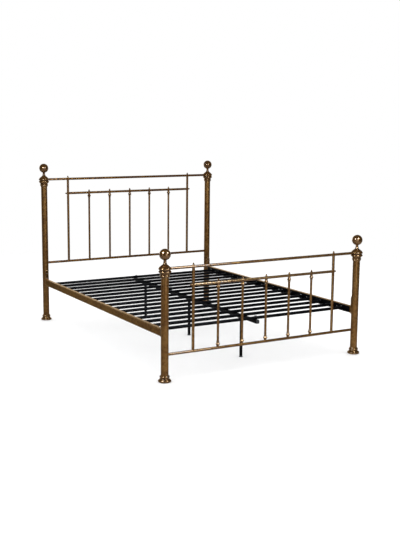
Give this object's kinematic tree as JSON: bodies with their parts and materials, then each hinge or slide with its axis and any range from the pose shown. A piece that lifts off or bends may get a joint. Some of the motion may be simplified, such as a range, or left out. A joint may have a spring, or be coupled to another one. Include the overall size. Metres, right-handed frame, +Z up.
{
  "type": "metal bed frame",
  "caption": "Antique brass double bed frame with ball-topped round posts, spindled head and foot boards, box side rails and a black steel slat deck on centre legs.",
  "frame": {"origin": "on the floor, below the middle of the frame", "axes": "+Y towards the headboard, +X across the bed to the right seen from the foot, +Z up"},
  "size_m": [1.626, 2.176, 1.288],
  "materials": {
    "antique_brass": "brushed, aged to a brown patina with lighter worn edges",
    "cast_brass": "cast and turned, aged to a dark brown patina with polished high points",
    "black_steel": "satin black powder coat",
    "black_plastic": "matte moulded",
    "zinc_screw": "zinc plated"
  },
  "bodies": {
    "frame": {"post_head_left": "antique_brass", "post_head_right": "antique_brass", "post_foot_left": "antique_brass", "post_foot_right": "antique_brass", "post_base_head_left": "cast_brass", "post_base_head_right": "cast_brass", "post_base_foot_left": "cast_brass", "post_base_foot_right": "cast_brass", "post_cap_head_left": "cast_brass", "post_cap_head_right": "cast_brass", "post_cap_foot_left": "cast_brass", "post_cap_foot_right": "cast_brass", "ball_finial_head_left": "cast_brass", "ball_finial_head_right": "cast_brass", "ball_finial_foot_left": "cast_brass", "ball_finial_foot_right": "cast_brass", "head_top_rail": "antique_brass", "head_mid_rail": "antique_brass", "head_low_rail": "antique_brass", "foot_top_rail": "antique_brass", "foot_mid_rail": "antique_brass", "foot_low_rail": "antique_brass", "head_uprights": "antique_brass", "foot_uprights": "antique_brass", "head_spindles": "antique_brass", "foot_spindles": "antique_brass", "spindle_collars": "cast_brass", "acorn_nuts": "cast_brass", "side_rail_left": "antique_brass", "side_rail_right": "antique_brass", "slat_carrier_left": "black_steel", "slat_carrier_right": "black_steel", "slat_01": "black_steel", "slat_02": "black_steel", "slat_03": "black_steel", "slat_04": "black_steel", "slat_05": "black_steel", "slat_06": "black_steel", "slat_07": "black_steel", "slat_08": "black_steel", "slat_09": "black_steel", "slat_10": "black_steel", "slat_11": "black_steel", "slat_12": "black_steel", "slat_13": "black_steel", "slat_14": "black_steel", "slat_15": "black_steel", "slat_16": "black_steel", "centre_beam": "black_steel", "beam_end_caps": "black_plastic", "centre_leg_1": "black_steel", "centre_leg_2": "black_steel", "centre_leg_3": "black_steel", "rail_brackets": "cast_brass", "bracket_screws": "zinc_screw", "deck_screws": "zinc_screw", "floor_glides": "black_plastic"},
    "levelling_foot_1": {"levelling_foot_1": "black_plastic"},
    "levelling_foot_2": {"levelling_foot_2": "black_plastic"},
    "levelling_foot_3": {"levelling_foot_3": "black_plastic"}
  },
  "joints": [
    {"name": "levelling_slide_1", "type": "slide", "parent": "frame", "child": "levelling_foot_1", "axis": [0, 0, 1], "range_m": [-0.015, 0.002]},
    {"name": "levelling_slide_2", "type": "slide", "parent": "frame", "child": "levelling_foot_2", "axis": [0, 0, 1], "range_m": [-0.015, 0.002]},
    {"name": "levelling_slide_3", "type": "slide", "parent": "frame", "child": "levelling_foot_3", "axis": [0, 0, 1], "range_m": [-0.015, 0.002]}
  ]
}
